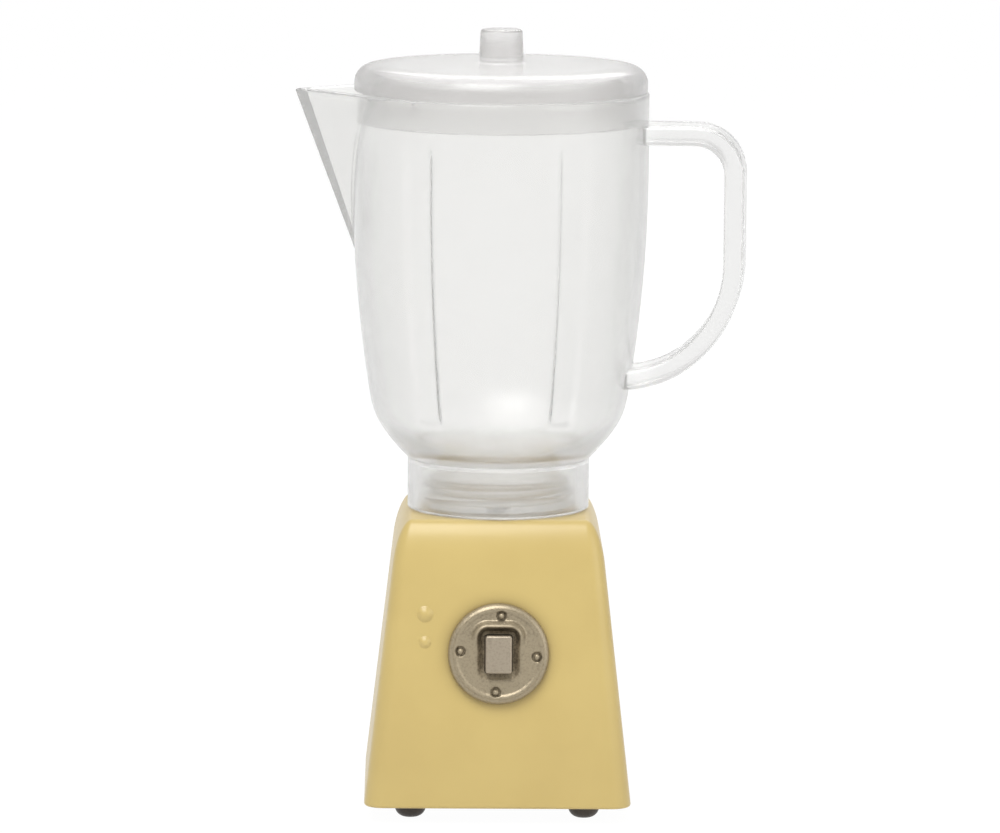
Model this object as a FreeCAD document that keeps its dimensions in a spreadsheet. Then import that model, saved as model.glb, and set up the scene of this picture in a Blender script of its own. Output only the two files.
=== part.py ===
"""Toy blender: cast base with a switch plate, a clear jug with lip and handle, and a press-in lid.

Millimetres, +Z up, floor at Z = 0. The front of the base, with the switch, faces -Y, the handle +X.
The origin is the middle of the whole object's footprint, so the base's own axis stands at AXIS_X.
"""
import FreeCAD, Part
import math
import os
import re
import Sketcher

SIZES = {
    "foot_drop": 1.7,
    "foot_reach": 8.9,
    "foot_radius": 1.6,
    "foot_flat": 0.5,
    "foot_dome": 1.1,
    "stem_radius": 0.8,
    "stem_extra": 0.3,
    "bottom_half": 13.66,
    "top_half": 10.32,
    "base_height": 29.15,
    "base_wall": 1.6,
    "edge_round": 2.0,
    "top_round": 1.8,
    "plate_thick": 1.2,
    "fit_gap": 0.05,
    "boss_reach": 6.6,
    "boss_radius": 1.7,
    "pilot_radius": 0.8,
    "screw_head_radius": 1.3,
    "screw_head_height": 0.7,
    "screw_length": 7.0,
    "slot_width": 0.35,
    "switch_height": 17.5,
    "switch_radius": 5.15,
    "switch_thick": 0.9,
    "switch_rim": 0.45,
    "surround_width": 5.2,
    "surround_tall": 6.2,
    "surround_rise": 0.35,
    "surround_band": 0.55,
    "surround_corner": 1.2,
    "button_width": 2.7,
    "button_tall": 3.85,
    "button_corner": 0.25,
    "button_travel": 0.7,
    "button_rest": 0.2,
    "button_gap": 0.1,
    "flange_radius": 2.6,
    "flange_thick": 0.6,
    "cup_radius": 3.2,
    "cup_wall": 0.5,
    "cup_depth": 5.6,
    "wire_radius": 0.18,
    "coil_radius": 1.5,
    "coil_turns": 5.0,
    "rivet_circle": 3.9,
    "rivet_turn": 4.0,
    "rivet_radius": 0.34,
    "rivet_shank": 0.22,
    "rivet_tail": 0.3,
    "dimple_radius": 0.52,
    "dimple_depth": 0.12,
    "bump_left": 7.5,
    "upper_bump_height": 21.45,
    "upper_bump_radius": 0.8,
    "lower_bump_height": 18.6,
    "lower_bump_radius": 0.62,
    "bump_sink": 0.25,
    "jug_turn": 5.9,
    "jug_radius": 15.2,
    "jug_height": 43.05,
    "jug_wall": 0.9,
    "barrel_top": 7.9,
    "waist_radius": 13.0,
    "waist_height": 10.0,
    "bowl_foot_height": 5.15,
    "bowl_sagitta": 0.45,
    "collar_radius": 9.35,
    "collar_wall": 1.2,
    "floor_thick": 1.2,
    "bore_depth": 5.0,
    "gate_radius": 0.6,
    "gate_height": 0.4,
    "spout_reach": 21.3,
    "spout_wing": 9.5,
    "spout_depth": 17.0,
    "spout_lean": 6.45,
    "nose_thick": 1.7,
    "channel_bottom": 1.2,
    "handle_reach": 25.15,
    "handle_width": 6.5,
    "handle_thick": 2.0,
    "handle_edge": 0.45,
    "handle_top": 4.1,
    "handle_crook": 4.0,
    "handle_grip": 9.05,
    "handle_sweep_run": 5.1,
    "handle_sweep_fall": 10.05,
    "handle_hook": 10.8,
    "handle_low": 13.75,
    "rib_turn": 36.0,
    "rib_span": 12.0,
    "rib_rise": 0.5,
    "rib_root": 0.4,
    "rib_top_gap": 4.6,
    "spigot_root": 7.25,
    "spigot_height": 3.3,
    "thread_rise": 0.5,
    "thread_pitch": 1.3,
    "thread_run": 1.25,
    "spigot_bore": 6.2,
    "spigot_floor": 1.0,
    "washer_radius": 3.0,
    "washer_thick": 0.4,
    "lid_inset": 0.15,
    "lid_side": 0.85,
    "lid_round": 1.65,
    "lid_dome": 0.8,
    "lid_thick": 1.1,
    "skirt_depth": 3.2,
    "skirt_wall": 0.9,
    "plug_gap": 0.1,
    "knob_foot": 2.3,
    "knob_top": 2.15,
    "knob_height": 3.05,
    "knob_round": 0.3,
}

# The base's own axis, set back by half of what the handle reaches further out than the lip.
AXIS_X = "(spout_reach - handle_reach) / 2 * cos(jug_turn)"
BASE_TOP = "(foot_drop + base_height)"
RIM = "(foot_drop + base_height + jug_height)"
# The front wall leans back: its distance from the axis at the switch, and its angle.
LEAN = "atan((bottom_half - top_half) / base_height)"
FACE = "(bottom_half - (switch_height - foot_drop) * (bottom_half - top_half) / base_height)"
SKIRT = "(jug_radius - jug_wall - plug_gap)"
CROWN = "(jug_radius - lid_inset)"

doc = FreeCAD.newDocument("toy_blender")
sheet = doc.addObject("Spreadsheet::Sheet", "sizes")
for row, (alias, value) in enumerate(SIZES.items(), start=1):
    sheet.set(f"A{row}", str(value))
    sheet.setAlias(f"A{row}", alias)
doc.recompute()


def bound(text):
    """Turn words that name a size into references to the sheet's cells."""
    return re.sub(r"[a-z_]+", lambda m: "sizes." + m.group() if m.group() in SIZES else m.group(), text)


def worked_out(text):
    """The present value of an expression on the sizes, as a plain number."""
    value = sheet.evalExpression(bound(text))
    return getattr(value, "Value", value)


def new_body(label):
    """An empty body whose label names its file."""
    body = doc.addObject("PartDesign::Body", label)
    body.Label = label
    return body


def place(body, x=AXIS_X, y="0", height="0", axis=None, angle="0"):
    """Put a body at its place in the whole, all of it bound to the sizes."""
    body.Placement = FreeCAD.Placement(
        FreeCAD.Vector(0, 0, 0), FreeCAD.Rotation(axis or FreeCAD.Vector(0, 0, 1), worked_out(angle))
    )
    body.setExpression("Placement.Base.x", bound(x))
    body.setExpression("Placement.Base.y", bound(y))
    body.setExpression("Placement.Base.z", bound(height))
    if axis is not None:
        body.setExpression("Placement.Rotation.Angle", bound(angle))


def new_sketch(body, name, role="XY_Plane", shift=("0", "0", "0"), axis=None, angle="0"):
    """A sketch on one of the body's own origin planes, shifted and turned from it."""
    sketch = body.newObject("Sketcher::SketchObject", name)
    plane = next(item for item in body.Origin.OriginFeatures if item.Role == role)
    sketch.AttachmentSupport = [(plane, "")]
    sketch.MapMode = "FlatFace"
    turned = FreeCAD.Rotation(axis or FreeCAD.Vector(0, 0, 1), worked_out(angle))
    sketch.AttachmentOffset = FreeCAD.Placement(FreeCAD.Vector(0, 0, 0), turned)
    for letter, text in zip("xyz", shift):
        sketch.setExpression(f"AttachmentOffset.Base.{letter}", bound(text))
    if axis is not None:
        sketch.setExpression("AttachmentOffset.Rotation.Angle", bound(angle))
    return sketch


def pin_point(sketch, edge, end, point):
    """Tie one end of an edge to its two expressions."""
    for kind, text in zip(("DistanceX", "DistanceY"), point):
        rule = Sketcher.Constraint(kind, -1, 1, edge, end, worked_out(text))
        sketch.setExpression(f"Constraints[{sketch.addConstraint(rule)}]", bound(text))


def outline(sketch, points, arcs=None, closed=True):
    """Draw lines and arcs through points given as expressions.

    arcs maps the number of the point that an arc leaves to its radius and its side: +1 where it
    bulges to the left of the way drawn, -1 to the right.
    """
    arcs = arcs or {}
    spots = [FreeCAD.Vector(worked_out(x), worked_out(y), 0) for x, y in points]
    count = len(points) if closed else len(points) - 1
    ends = []
    for i in range(count):
        start, stop = spots[i], spots[(i + 1) % len(spots)]
        if i not in arcs:
            sketch.addGeometry(Part.LineSegment(start, stop), False)
            ends.append((1, 2))
            continue
        radius, side = worked_out(arcs[i][0]), arcs[i][1]
        chord = stop - start
        left = FreeCAD.Vector(-chord.y, chord.x, 0).normalize()
        reach = math.sqrt(max(radius**2 - (chord.Length / 2) ** 2, 0))
        centre = (start + stop) * 0.5 - left * (side * reach)
        first, last = (stop, start) if side > 0 else (start, stop)
        angles = [math.atan2(spot.y - centre.y, spot.x - centre.x) for spot in (first, last)]
        circle = Part.Circle(centre, FreeCAD.Vector(0, 0, 1), radius)
        sketch.addGeometry(Part.ArcOfCircle(circle, *angles), False)
        ends.append((2, 1) if side > 0 else (1, 2))
    for i in range(count if closed else count - 1):
        after = (i + 1) % count
        sketch.addConstraint(Sketcher.Constraint("Coincident", i, ends[i][1], after, ends[after][0]))
    for i in range(count):
        pin_point(sketch, i, ends[i][0], points[i])
        if i in arcs:
            rule = Sketcher.Constraint("Radius", i, worked_out(arcs[i][0]))
            sketch.setExpression(f"Constraints[{sketch.addConstraint(rule)}]", bound(arcs[i][0]))
    if not closed:
        pin_point(sketch, count - 1, ends[-1][1], points[-1])


def circle(sketch, radius, centre=("0", "0")):
    """Draw a circle of a bound radius about a bound centre."""
    middle = FreeCAD.Vector(worked_out(centre[0]), worked_out(centre[1]), 0)
    ring = sketch.addGeometry(Part.Circle(middle, FreeCAD.Vector(0, 0, 1), worked_out(radius)), False)
    pin_point(sketch, ring, 3, centre)
    rule = Sketcher.Constraint("Radius", ring, worked_out(radius))
    sketch.setExpression(f"Constraints[{sketch.addConstraint(rule)}]", bound(radius))


def rounded_box(sketch, half_wide, half_tall, corner):
    """Draw a rectangle about the middle, with corner arcs."""
    wide, tall, inset_wide, inset_tall = (
        f"({half_wide})",
        f"({half_tall})",
        f"({half_wide} - {corner})",
        f"({half_tall} - {corner})",
    )
    points = [
        ("-" + inset_wide, "-" + tall),
        (inset_wide, "-" + tall),
        (wide, "-" + inset_tall),
        (wide, inset_tall),
        (inset_wide, tall),
        ("-" + inset_wide, tall),
        ("-" + wide, inset_tall),
        ("-" + wide, "-" + inset_tall),
    ]
    outline(sketch, points, {i: (corner, -1) for i in (1, 3, 5, 7)})


def square(sketch, half, middle=("0", "0")):
    """Draw a square of a bound half side."""
    signs = ((-1, -1), (1, -1), (1, 1), (-1, 1))
    outline(sketch, [(f"{middle[0]} + {a} * ({half})", f"{middle[1]} + {b} * ({half})") for a, b in signs])


def extrude(body, kind, name, sketch, length, reverse=False, both=False):
    """A pad or pocket of a bound length."""
    step = body.newObject("PartDesign::" + kind, name)
    step.Profile = sketch
    step.Type = 0
    step.Length = worked_out(length)
    step.setExpression("Length", bound(length))
    step.Reversed = reverse
    step.Midplane = both
    return step


def revolve(body, kind, name, sketch, sweep="360"):
    """A revolution or groove about the sketch's upright axis, spread evenly to both sides."""
    step = body.newObject("PartDesign::" + kind, name)
    step.Profile = sketch
    step.ReferenceAxis = (sketch, ["V_Axis"])
    step.Angle = worked_out(sweep)
    if sweep != "360":
        step.setExpression("Angle", bound(sweep))
        step.Midplane = True
    return step


def turned(label, points, arcs=None):
    """A body turned about its own upright axis from one half outline."""
    body = new_body(label)
    sketch = new_sketch(body, label + "_profile", "XZ_Plane")
    outline(sketch, points, arcs)
    revolve(body, "Revolution", label + "_turned", sketch)
    return body


def loft(body, kind, name, lower, upper):
    """A straight-sided loft between two sketches."""
    step = body.newObject("PartDesign::" + kind, name)
    step.Profile = lower
    step.Sections = [upper]
    step.Ruled = True
    return step


def fillet(body, base, name, edges, radius):
    """Round the named edges of a feature."""
    step = body.newObject("PartDesign::Fillet", name)
    step.Base = (base, edges)
    step.Radius = worked_out(radius)
    step.setExpression("Radius", bound(radius))
    return step


def edges_where(shape, test):
    """Names of the edges whose ends and middle all meet a test."""
    names = []
    for number, edge in enumerate(shape.Edges, start=1):
        middle = edge.valueAt((edge.FirstParameter + edge.LastParameter) / 2)
        if all(test(point) for point in [vertex.Point for vertex in edge.Vertexes] + [middle]):
            names.append(f"Edge{number}")
    return names


def face_frame():
    """Shift, axis and angle that lay a sketch of the upright plane on the leaning front wall."""
    return ("0", "switch_height", FACE), FreeCAD.Vector(1, 0, 0), f"-{LEAN}"


def rivet_centre(number):
    """Middle of one rivet in the plate's own plane."""
    angle = f"(90 * {number} - rivet_turn)"
    return f"rivet_circle * cos({angle})", f"rivet_circle * sin({angle})"


def add_bump(body, name, height, radius):
    """A small cast dome on the front wall, sunk a little below the surface."""
    dome = body.newObject("PartDesign::AdditiveSphere", name)
    dome.Radius = worked_out(radius)
    dome.setExpression("Radius", bound(radius))
    wall = f"(bottom_half - ({height} - foot_drop) * (bottom_half - top_half) / base_height)"
    plane = next(item for item in body.Origin.OriginFeatures if item.Role == "XY_Plane")
    dome.AttachmentSupport = [(plane, "")]
    dome.MapMode = "FlatFace"
    for letter, text in zip("xyz", ("-bump_left", f"-({wall} - bump_sink)", height)):
        dome.setExpression(f"AttachmentOffset.Base.{letter}", bound(text))
    return dome


def make_housing():
    """The hollow cast shell with screw bosses, two bumps and the switch's openings."""
    body = new_body("base_housing")
    lower = new_sketch(body, "housing_foot", shift=("0", "0", "foot_drop"))
    square(lower, "bottom_half")
    shell = extrude(body, "Pad", "housing_block", lower, "base_height")
    shell.setExpression("TaperAngle", bound(f"-{LEAN}"))
    doc.recompute()
    high = worked_out(BASE_TOP)
    corners = edges_where(shell.Shape, lambda p: abs(abs(p.x) - abs(p.y)) < 0.01)
    rounded = fillet(body, shell, "housing_corners", corners, "edge_round")
    doc.recompute()
    top = edges_where(rounded.Shape, lambda p: abs(p.z - high) < 0.01)
    fillet(body, rounded, "housing_top", top, "top_round")
    inside = new_sketch(body, "cavity_foot", shift=("0", "0", "foot_drop"))
    square(inside, "bottom_half - base_wall")
    cavity = extrude(body, "Pocket", "housing_cavity", inside, "base_height - base_wall", reverse=True)
    cavity.setExpression("TaperAngle", bound(f"-{LEAN}"))
    bosses = new_sketch(body, "bosses", shift=("0", "0", "foot_drop + plate_thick"))
    pilots = new_sketch(body, "pilots", shift=("0", "0", "foot_drop + plate_thick"))
    for a, b in ((-1, -1), (1, -1), (1, 1), (-1, 1)):
        circle(bosses, "boss_radius", (f"{a} * boss_reach", f"{b} * boss_reach"))
        circle(pilots, "pilot_radius", (f"{a} * boss_reach", f"{b} * boss_reach"))
    extrude(body, "Pad", "housing_bosses", bosses, "base_height - plate_thick - base_wall / 2")
    extrude(body, "Pocket", "housing_pilots", pilots, "screw_length", reverse=True)
    centre = new_sketch(body, "centre_hole", shift=("0", "0", BASE_TOP))
    circle(centre, "pilot_radius + fit_gap")
    extrude(body, "Pocket", "housing_centre_hole", centre, "base_wall * 2")
    shift, axis, angle = face_frame()
    window = new_sketch(body, "cup_bore", "XZ_Plane", shift, axis, angle)
    circle(window, "cup_radius + fit_gap")
    extrude(body, "Pocket", "housing_cup_bore", window, "base_wall * 2")
    holes = new_sketch(body, "rivet_holes", "XZ_Plane", shift, axis, angle)
    for number in range(4):
        circle(holes, "rivet_shank + fit_gap", rivet_centre(number))
    extrude(body, "Pocket", "housing_rivet_holes", holes, "base_wall * 2")
    add_bump(body, "upper_bump", "upper_bump_height", "upper_bump_radius")
    add_bump(body, "lower_bump", "lower_bump_height", "lower_bump_radius")
    place(body)
    return body


def make_bottom_plate():
    """The flat plate that closes the shell, set in flush with its lower edge."""
    body = new_body("bottom_plate")
    slope = "(bottom_half - top_half) / base_height"
    sketch = new_sketch(body, "plate_outline")
    rounded_box(sketch, *[f"bottom_half - base_wall - plate_thick * {slope} - fit_gap"] * 2, "fit_gap * 4")
    extrude(body, "Pad", "plate_slab", sketch, "plate_thick")
    holes = new_sketch(body, "plate_holes", shift=("0", "0", "plate_thick"))
    for a, b in ((-1, -1), (1, -1), (1, 1), (-1, 1)):
        circle(holes, "pilot_radius + fit_gap", (f"{a} * boss_reach", f"{b} * boss_reach"))
        circle(holes, "stem_radius + fit_gap", (f"{a} * foot_reach", f"{b} * foot_reach"))
    extrude(body, "Pocket", "plate_bored", holes, "plate_thick * 2")
    place(body, height="foot_drop")
    return body


def make_feet():
    """Four domed feet, each with a stem pressed through the bottom plate."""
    dome = "((foot_radius - foot_flat)^2 + foot_dome^2) / (2 * (foot_radius - foot_flat))"
    points = [
        ("0", "0"),
        ("foot_flat", "0"),
        ("foot_radius", "foot_dome"),
        ("foot_radius", "foot_drop"),
        ("stem_radius", "foot_drop"),
        ("stem_radius", "foot_drop + plate_thick + stem_extra"),
        ("0", "foot_drop + plate_thick + stem_extra"),
    ]
    corners = {"front_left": (-1, -1), "front_right": (1, -1), "rear_right": (1, 1), "rear_left": (-1, 1)}
    feet = []
    for name, (a, b) in corners.items():
        foot = turned("foot_" + name, points, {1: (dome, -1)})
        place(foot, x=f"{AXIS_X} + {a} * foot_reach", y=f"{b} * foot_reach")
        feet.append(foot)
    return feet


def make_screw(label, length):
    """A round-head screw, head down, with a straight slot."""
    crown = "(screw_head_radius^2 + screw_head_height^2) / (2 * screw_head_height)"
    points = [
        ("0", "-screw_head_height"),
        ("screw_head_radius", "0"),
        ("pilot_radius - fit_gap", "0"),
        ("pilot_radius - fit_gap", length),
        ("0", length),
    ]
    body = turned(label, points, {0: (crown, -1)})
    slot = new_sketch(body, label + "_slot", shift=("0", "0", "-screw_head_height"))
    wide, tall = "screw_head_radius", "slot_width / 2"
    outline(slot, [("-" + wide, "-" + tall), (wide, "-" + tall), (wide, tall), ("-" + wide, tall)])
    extrude(body, "Pocket", label + "_slotted", slot, "screw_head_height / 2", reverse=True)
    return body


def make_bottom_screws():
    """Four screws that hold the bottom plate to the shell's bosses."""
    screws = []
    for number, (a, b) in enumerate(((-1, -1), (1, -1), (1, 1), (-1, 1)), start=1):
        screw = make_screw(f"bottom_screw_{number}", "screw_length")
        place(screw, x=f"{AXIS_X} + {a} * boss_reach", y=f"{b} * boss_reach", height="foot_drop")
        screws.append(screw)
    return screws


def make_spigot():
    """The clear threaded boss on the base, hollow above its floor."""
    points = [
        ("pilot_radius", "0"),
        ("spigot_root", "0"),
        ("spigot_root", "spigot_height"),
        ("spigot_bore", "spigot_height"),
        ("spigot_bore", "spigot_floor"),
        ("pilot_radius", "spigot_floor"),
    ]
    body = turned("threaded_spigot", points)
    ridge = new_sketch(body, "thread_form", "XZ_Plane")
    inside, crest = "spigot_root - 0.2 * thread_rise", "spigot_root + thread_rise"
    outline(
        ridge,
        [
            (inside, "thread_pitch * 0.15"),
            (crest, "thread_pitch * 0.4"),
            (crest, "thread_pitch * 0.55"),
            (inside, "thread_pitch * 0.8"),
        ],
    )
    helix = body.newObject("PartDesign::AdditiveHelix", "spigot_thread")
    helix.Profile = ridge
    helix.ReferenceAxis = (ridge, ["V_Axis"])
    helix.Mode = 0
    helix.setExpression("Pitch", bound("thread_pitch"))
    helix.setExpression("Height", bound("thread_pitch * thread_run"))
    place(body, height=BASE_TOP)
    return body


def make_spigot_fixings():
    """The screw and washer, inside the shell, that hold the spigot down."""
    washer = turned(
        "spigot_washer",
        [
            ("pilot_radius", "0"),
            ("washer_radius", "0"),
            ("washer_radius", "washer_thick"),
            ("pilot_radius", "washer_thick"),
        ],
    )
    place(washer, height=f"{BASE_TOP} - base_wall - washer_thick")
    through = "washer_thick + base_wall + spigot_floor"
    screw = make_screw("spigot_screw", through)
    place(screw, height=f"{BASE_TOP} - base_wall - washer_thick")
    return [washer, screw]


def make_switch_plate():
    """The round cast plate: rounded rim, raised surround, button opening and rivet dimples."""
    points = [
        ("0", "0"),
        ("switch_radius", "0"),
        ("switch_radius", "switch_thick - switch_rim"),
        ("switch_radius - switch_rim", "switch_thick"),
        ("0", "switch_thick"),
    ]
    body = turned("switch_plate", points, {2: ("switch_rim", -1)})
    surround = new_sketch(body, "surround", shift=("0", "0", "switch_thick"))
    rounded_box(surround, "surround_width / 2", "surround_tall / 2", "surround_corner")
    extrude(body, "Pad", "plate_surround", surround, "surround_rise")
    recess = new_sketch(body, "recess", shift=("0", "0", "switch_thick + surround_rise"))
    rounded_box(
        recess,
        "surround_width / 2 - surround_band",
        "surround_tall / 2 - surround_band",
        "(surround_corner - surround_band)",
    )
    extrude(body, "Pocket", "plate_recess", recess, "surround_rise")
    opening = new_sketch(body, "opening", shift=("0", "0", "switch_thick"))
    rounded_box(
        opening,
        "button_width / 2 + button_gap",
        "button_tall / 2 + button_gap",
        "(button_corner + button_gap)",
    )
    extrude(body, "Pocket", "plate_opening", opening, "switch_thick * 2")
    dimples = new_sketch(body, "dimples", shift=("0", "0", "switch_thick"))
    holes = new_sketch(body, "holes", shift=("0", "0", "switch_thick"))
    for number in range(4):
        circle(dimples, "dimple_radius", rivet_centre(number))
        circle(holes, "rivet_shank + fit_gap", rivet_centre(number))
    extrude(body, "Pocket", "plate_dimples", dimples, "dimple_depth")
    extrude(body, "Pocket", "plate_holes_bored", holes, "switch_thick * 2")
    place_on_face(body)
    return body


def place_on_face(body, sideways="0", upwards="0", depth="0"):
    """Stand a body's own +Z along the front wall's outward normal at the switch."""
    y = f"({upwards}) * sin({LEAN}) + ({depth}) * cos({LEAN}) - {FACE}"
    height = f"switch_height + ({upwards}) * cos({LEAN}) - ({depth}) * sin({LEAN})"
    place(body, f"{AXIS_X} + {sideways}", y, height, FreeCAD.Vector(1, 0, 0), f"90 deg - {LEAN}")


def make_rivets():
    """Four round-head rivets through the plate and the wall."""
    seat = "(switch_thick - dimple_depth)"
    points = [
        ("0", "-base_wall - rivet_tail"),
        ("rivet_shank", "-base_wall - rivet_tail"),
        ("rivet_shank", seat),
        ("rivet_radius", seat),
        ("0", f"{seat} + rivet_radius"),
    ]
    rivets = []
    for number in range(4):
        rivet = turned(f"switch_rivet_{number + 1}", points, {3: ("rivet_radius", -1)})
        across, up = rivet_centre(number)
        place_on_face(rivet, across, up)
        rivets.append(rivet)
    return rivets


def make_button():
    """The proud button and its retaining flange behind the plate."""
    body = new_body("switch_button")
    disc = new_sketch(body, "flange", shift=("0", "0", "-button_gap - flange_thick"))
    circle(disc, "flange_radius")
    extrude(body, "Pad", "button_flange", disc, "flange_thick")
    block = new_sketch(body, "block", shift=("0", "0", "-button_gap - flange_thick"))
    rounded_box(block, "button_width / 2", "button_tall / 2", "button_corner")
    length = "button_gap + flange_thick + switch_thick + surround_rise + button_travel + button_rest"
    extrude(body, "Pad", "button_block", block, length)
    place_on_face(body)
    return body


def make_spring_cup():
    """The closed cup behind the plate that guides the flange and carries the spring."""
    points = [
        ("0", "-cup_depth"),
        ("cup_radius", "-cup_depth"),
        ("cup_radius", "-fit_gap"),
        ("cup_radius - cup_wall", "-fit_gap"),
        ("cup_radius - cup_wall", "-cup_depth + cup_wall"),
        ("0", "-cup_depth + cup_wall"),
    ]
    cup = turned("spring_cup", points)
    place_on_face(cup)
    return cup


def make_spring():
    """The button's return spring, one unbroken coil between flange and cup."""
    body = new_body("button_spring")
    wire = new_sketch(body, "wire", "XZ_Plane")
    circle(wire, "wire_radius", ("coil_radius", "wire_radius"))
    coil = body.newObject("PartDesign::AdditiveHelix", "coil")
    coil.Profile = wire
    coil.ReferenceAxis = (wire, ["V_Axis"])
    coil.Mode = 2
    length = "(cup_depth - cup_wall - button_gap - flange_thick - 2 * wire_radius - 2 * fit_gap)"
    coil.setExpression("Turns", bound("coil_turns"))
    coil.setExpression("Height", bound(length))
    place_on_face(body, depth="cup_depth - cup_wall - fit_gap")
    return body


def wall_outline(inset, top):
    """Half outline of the jug's wall, its barrel curve and its bowl, set in by a thickness.

    Returns the points from the top down, and the two arcs by the point that each leaves.
    """
    upper = f"(jug_radius - {inset})"
    waist = f"(waist_radius - {inset})"
    barrel = "(jug_height - barrel_top - waist_height)"
    drop = "(jug_radius - waist_radius)"
    points = [(upper, top), (upper, "jug_height - barrel_top"), (waist, "waist_height")]
    return points, f"({barrel}^2 + {drop}^2) / (2 * {drop})"


def bowl_radius(run, fall):
    """Radius of an arc over a run and a fall whose middle stands off its chord by bowl_sagitta."""
    return f"(({run})^2 + ({fall})^2) / (8 * bowl_sagitta) + bowl_sagitta / 2"


def make_jug():
    """The jug: barrel wall, lip, strap handle, collar, four inner ribs and the moulding's gate."""
    body = new_body("jug")
    points, barrel = wall_outline("0", "jug_height")
    run, fall = "waist_radius - collar_radius", "waist_height - bowl_foot_height"
    points += [("collar_radius", "bowl_foot_height"), ("collar_radius", "0"), ("0", "0"), ("0", "jug_height")]
    outer = new_sketch(body, "jug_outside", "XZ_Plane")
    outline(outer, points, {1: (barrel, 1), 2: (bowl_radius(run, fall), 1)})
    revolve(body, "Revolution", "jug_solid", outer)
    add_lip(body, "AdditiveLoft", "lip", "0", "0", "jug_height - spout_depth")
    add_handle(body)
    inner_points, _ = wall_outline("jug_wall", "jug_height + jug_wall")
    floor = "(bore_depth + floor_thick)"
    foot = "(collar_radius - jug_wall)"
    inner_points += [
        (foot, floor),
        ("gate_radius", floor),
        ("gate_radius", f"{floor} + gate_height"),
        ("0", f"{floor} + gate_height"),
        ("0", "jug_height + jug_wall"),
    ]
    inner_run, inner_fall = "waist_radius - collar_radius", f"waist_height - {floor}"
    inner = new_sketch(body, "jug_inside", "XZ_Plane")
    outline(inner, inner_points, {1: (barrel, 1), 2: (bowl_radius(inner_run, inner_fall), 1)})
    revolve(body, "Groove", "jug_hollow", inner)
    channel_low = "jug_height - spout_depth + channel_bottom"
    add_lip(body, "SubtractiveLoft", "channel", "nose_thick", "nose_thick / 2", channel_low)
    bore = new_sketch(body, "collar_bore")
    circle(bore, "collar_radius - collar_wall")
    extrude(body, "Pocket", "jug_collar_bore", bore, "bore_depth", reverse=True)
    for number, side in enumerate(("90 - rib_turn", "90 + rib_turn", "270 - rib_turn", "270 + rib_turn")):
        add_rib(body, number + 1, side)
    place(body, height=BASE_TOP, axis=FreeCAD.Vector(0, 0, 1), angle="-jug_turn")
    return body


def add_lip(body, kind, name, top_inset, low_inset, low):
    """The pouring lip's wedge: a right-angled V at the rim that leans back to the wall below."""
    levels = (
        ("_low", low, f"(spout_reach - spout_lean - {low_inset})"),
        ("_rim", "jug_height", f"(spout_reach - {top_inset})"),
    )
    sketches = []
    for suffix, height, nose in levels:
        sketch = new_sketch(body, name + suffix, shift=("0", "0", height))
        wing = f"spout_wing - {nose}"
        outline(sketch, [(f"-{nose}", "0"), (wing, "-spout_wing"), (wing, "spout_wing")])
        sketches.append(sketch)
    loft(body, kind, "jug_" + name, *sketches)


def add_handle(body):
    """The strap handle: one rounded section swept along its straight arm and two curves."""
    grip = "(handle_reach - handle_thick / 2)"
    top = "(jug_height - handle_top)"
    root = "(jug_radius - jug_wall * 1.5)"
    low_root = "(waist_radius - jug_wall / 2)"
    sweep = "(handle_sweep_run^2 + handle_sweep_fall^2) / (2 * handle_sweep_run)"
    path = new_sketch(body, "handle_path", "XZ_Plane")
    outline(
        path,
        [
            (root, top),
            (f"{grip} - handle_crook", top),
            (grip, f"{top} - handle_crook"),
            (grip, f"{top} - handle_crook - handle_grip"),
            (f"{grip} - handle_sweep_run", f"{top} - handle_crook - handle_grip - handle_sweep_fall"),
            (low_root, "handle_low"),
        ],
        {1: ("handle_crook", 1), 3: (sweep, 1), 4: ("handle_hook", 1)},
        closed=False,
    )
    section = new_sketch(body, "handle_section", "YZ_Plane", shift=("0", top, root))
    rounded_box(section, "handle_width / 2", "handle_thick / 2", "handle_edge")
    strap = body.newObject("PartDesign::AdditivePipe", "jug_handle")
    strap.Profile = section
    strap.Spine = path
    return strap


def add_rib(body, number, side):
    """One shallow upright rib on the inside of the wall, turned through a small angle."""
    barrel = "(jug_height - barrel_top - waist_height)"
    drop = "(jug_radius - waist_radius)"
    curve = f"({barrel}^2 + {drop}^2) / (2 * {drop})"
    face, root = "jug_wall + rib_rise", "jug_wall - rib_root"
    points = [
        (f"jug_radius - ({root})", "jug_height - rib_top_gap"),
        (f"jug_radius - ({root})", "jug_height - barrel_top"),
        (f"waist_radius - ({root})", "waist_height"),
        (f"waist_radius - ({face})", "waist_height"),
        (f"jug_radius - ({face})", "jug_height - barrel_top"),
        (f"jug_radius - ({face})", "jug_height - rib_top_gap"),
    ]
    sketch = new_sketch(body, f"rib_{number}", "XZ_Plane", axis=FreeCAD.Vector(0, 1, 0), angle=side)
    outline(sketch, points, {1: (curve, 1), 3: (curve, -1)})
    revolve(body, "Revolution", f"jug_rib_{number}", sketch, "rib_span")


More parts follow.
